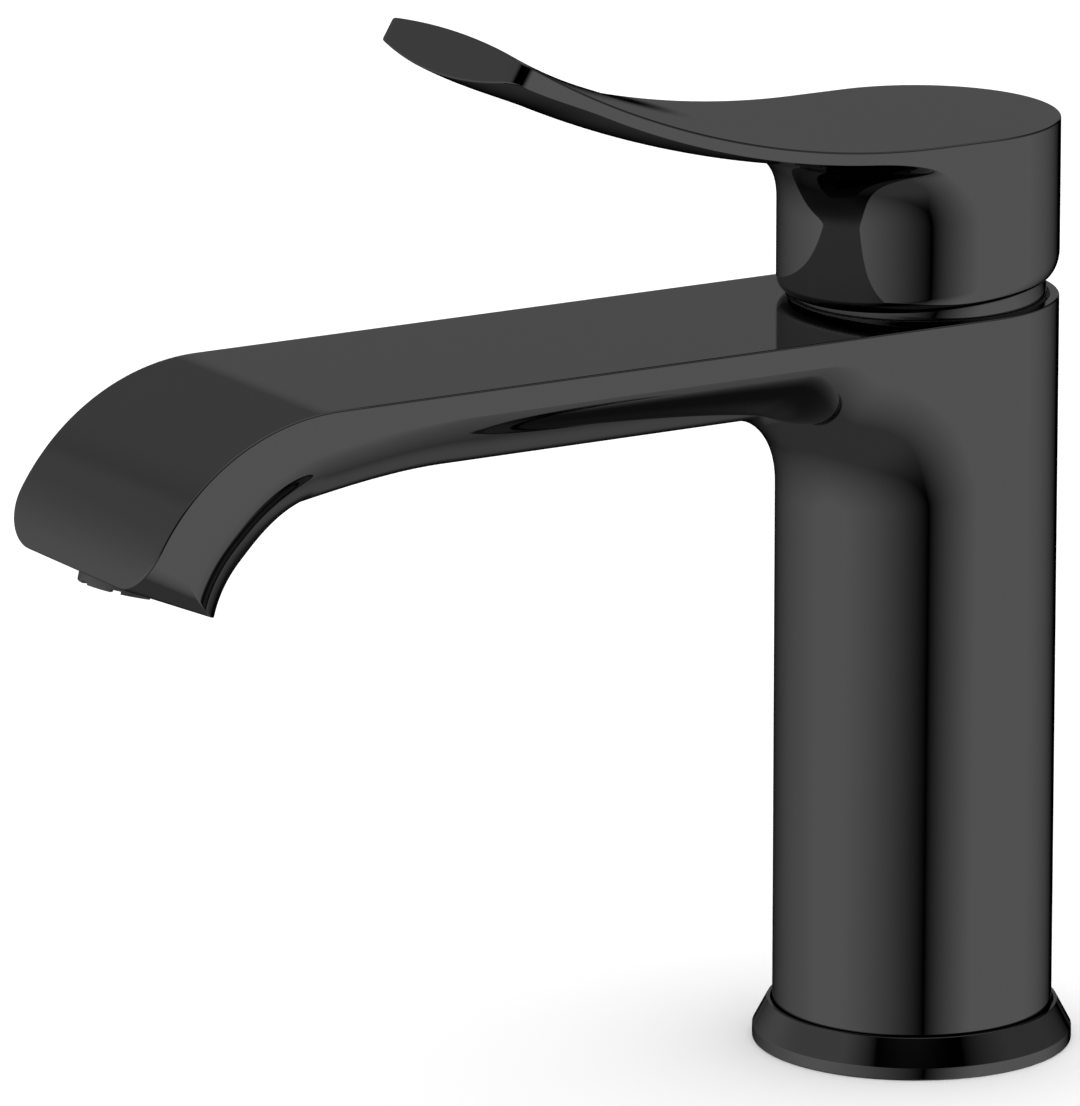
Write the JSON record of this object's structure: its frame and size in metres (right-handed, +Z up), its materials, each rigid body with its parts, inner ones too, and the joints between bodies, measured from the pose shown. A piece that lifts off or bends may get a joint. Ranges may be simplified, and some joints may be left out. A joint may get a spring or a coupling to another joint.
{
  "type": "basin mixer faucet",
  "caption": "Single-lever basin mixer faucet: round column on a base ring, wide flat spout with a down-turned tip, and a matching plate lever on top.",
  "frame": {"origin": "centre of the column's foot, on the deck that the base ring stands on", "axes": "+Z up along the column, the spout and the lever point to -Y, the hot side is -X and the cold side +X"},
  "size_m": [0.0502, 0.1749, 0.17],
  "materials": {
    "black_chrome": "polished",
    "brass": "satin",
    "steel": "satin",
    "rubber": "matte",
    "ceramic": "gloss",
    "white_plastic": "satin",
    "red_plastic": "satin",
    "dark_plastic": "satin"
  },
  "bodies": {
    "body": {"body_shell": "black_chrome", "base_ring": "black_chrome", "ring_seal": "rubber", "deck_gasket": "rubber", "inlet_manifold": "brass", "manifold_clip": "steel", "manifold_seal": "rubber", "hot_riser_tube": "steel", "cold_riser_tube": "steel", "cartridge_base": "white_plastic", "base_seal_hot": "rubber", "base_seal_cold": "rubber", "base_seal_outer": "rubber", "fixed_ceramic_disc": "ceramic", "cartridge_housing": "white_plastic", "lock_nut": "brass", "hot_limit_ring": "red_plastic", "dome_collar": "black_chrome", "collar_slide_ring": "dark_plastic", "aerator_housing": "dark_plastic", "aerator_honeycomb": "dark_plastic", "aerator_screen": "steel", "flow_regulator": "white_plastic", "aerator_seal": "rubber"},
    "turret": {"stem_turret": "red_plastic", "pivot_pin": "steel"},
    "disc_slider": {"disc_carrier": "white_plastic", "moving_ceramic_disc": "ceramic"},
    "lever": {"handle": "black_chrome", "spindle": "brass", "handle_insert": "brass", "set_screw": "steel", "index_plug": "red_plastic"}
  },
  "joints": [
    {"name": "temperature_turn", "type": "hinge", "parent": "body", "child": "turret", "pos_m": [0, 0, 0.1195], "axis": [0, 0, 1], "range_deg": [-45, 45]},
    {"name": "flow_lift", "type": "hinge", "parent": "turret", "child": "lever", "pos_m": [0, 0, 0.1195], "axis": [-1, 0, 0], "range_deg": [0, 9]},
    {"name": "disc_slide", "type": "slide", "parent": "turret", "child": "disc_slider", "axis": [0, -1, 0], "range_m": [0, 0.004]}
  ],
  "couplings": [
    {"joint": "disc_slide", "follows": "flow_lift", "m_per_rad": 0.0246}
  ]
}
